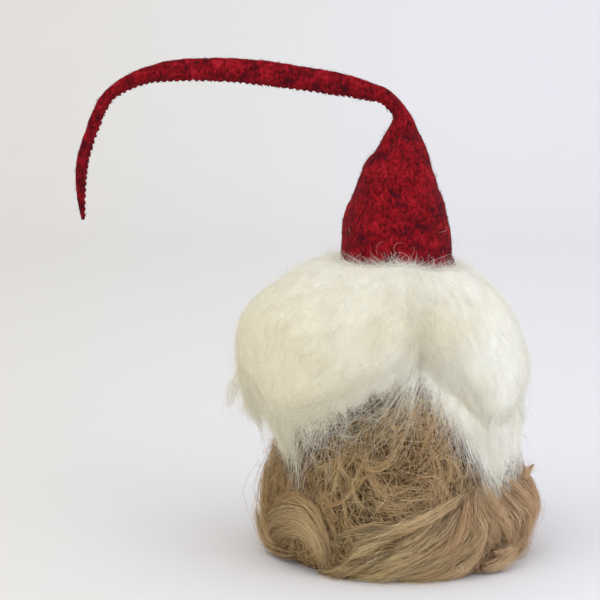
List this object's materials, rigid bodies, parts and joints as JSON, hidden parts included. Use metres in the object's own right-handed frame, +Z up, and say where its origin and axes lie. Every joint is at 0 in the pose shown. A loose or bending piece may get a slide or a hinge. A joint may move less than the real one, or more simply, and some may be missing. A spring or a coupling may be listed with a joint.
{
  "type": "gnome figurine",
  "caption": "Stuffed gnome wrapped in long fleece, with a wool mane and a felt hat whose long wired tail bends.",
  "frame": {"origin": "centre of the sole's underside, on the surface the figurine stands on", "axes": "+Z up, the figurine faces -Y, and the hat's tail runs towards -X"},
  "size_m": [0.2328, 0.1412, 0.2495],
  "materials": {
    "sole_felt": "felt",
    "linen": "woven linen",
    "pebble": "smooth",
    "stuffing_wool": "loose wool",
    "fawn_fleece": "long fleece",
    "white_wool": "combed wool",
    "red_felt": "wet felt, heathered",
    "red_thread": "wool thread",
    "yarn": "wool yarn",
    "linen_thread": "linen thread",
    "steel_wire": "annealed wire"
  },
  "bodies": {
    "figure": {"sole": "sole_felt", "sole_stitches": "linen_thread", "ballast_pouch": "linen", "ballast_pebbles": "pebble", "sack": "linen", "stuffing": "stuffing_wool", "fleece_wrap": "fawn_fleece", "wrap_seam_stitches": "linen_thread", "locks_left_back": "fawn_fleece", "locks_left_front": "fawn_fleece", "locks_right_back": "fawn_fleece", "locks_right_front": "fawn_fleece", "mane_tie": "yarn", "mane_front_left": "white_wool", "mane_front_right": "white_wool", "mane_left": "white_wool", "mane_right": "white_wool", "mane_back_left": "white_wool", "mane_back_right": "white_wool", "hat_cone": "red_felt", "hat_stuffing": "stuffing_wool", "hat_stitches": "red_thread", "hat_seam_stitches": "red_thread", "hat_wire": "steel_wire"},
    "crook": {"crook_felt": "red_felt", "crook_wire": "steel_wire"},
    "tail_inner": {"tail_inner_felt": "red_felt", "tail_inner_wire": "steel_wire", "tail_inner_stitches": "red_thread"},
    "tail_middle": {"tail_middle_felt": "red_felt", "tail_middle_wire": "steel_wire", "tail_middle_stitches": "red_thread"},
    "tail_tip": {"tail_tip_felt": "red_felt", "tail_tip_wire": "steel_wire", "tail_tip_stitches": "red_thread"}
  },
  "joints": [
    {"name": "hat_swing", "type": "hinge", "parent": "figure", "child": "crook", "pos_m": [0, 0, 0.226], "axis": [0, 0, 1], "range_deg": [-60, 60]},
    {"name": "tail_lift", "type": "hinge", "parent": "crook", "child": "tail_inner", "pos_m": [0, 0, 0.226], "axis": [0, 1, 0], "range_deg": [-15, 70]},
    {"name": "mid_bend", "type": "hinge", "parent": "tail_inner", "child": "tail_middle", "pos_m": [-0.084, 0, 0.2435], "axis": [0, 1, 0], "range_deg": [-18, 40]},
    {"name": "tip_bend", "type": "hinge", "parent": "tail_middle", "child": "tail_tip", "pos_m": [-0.144, 0, 0.23], "axis": [0, 1, 0], "range_deg": [-15, 60]}
  ]
}
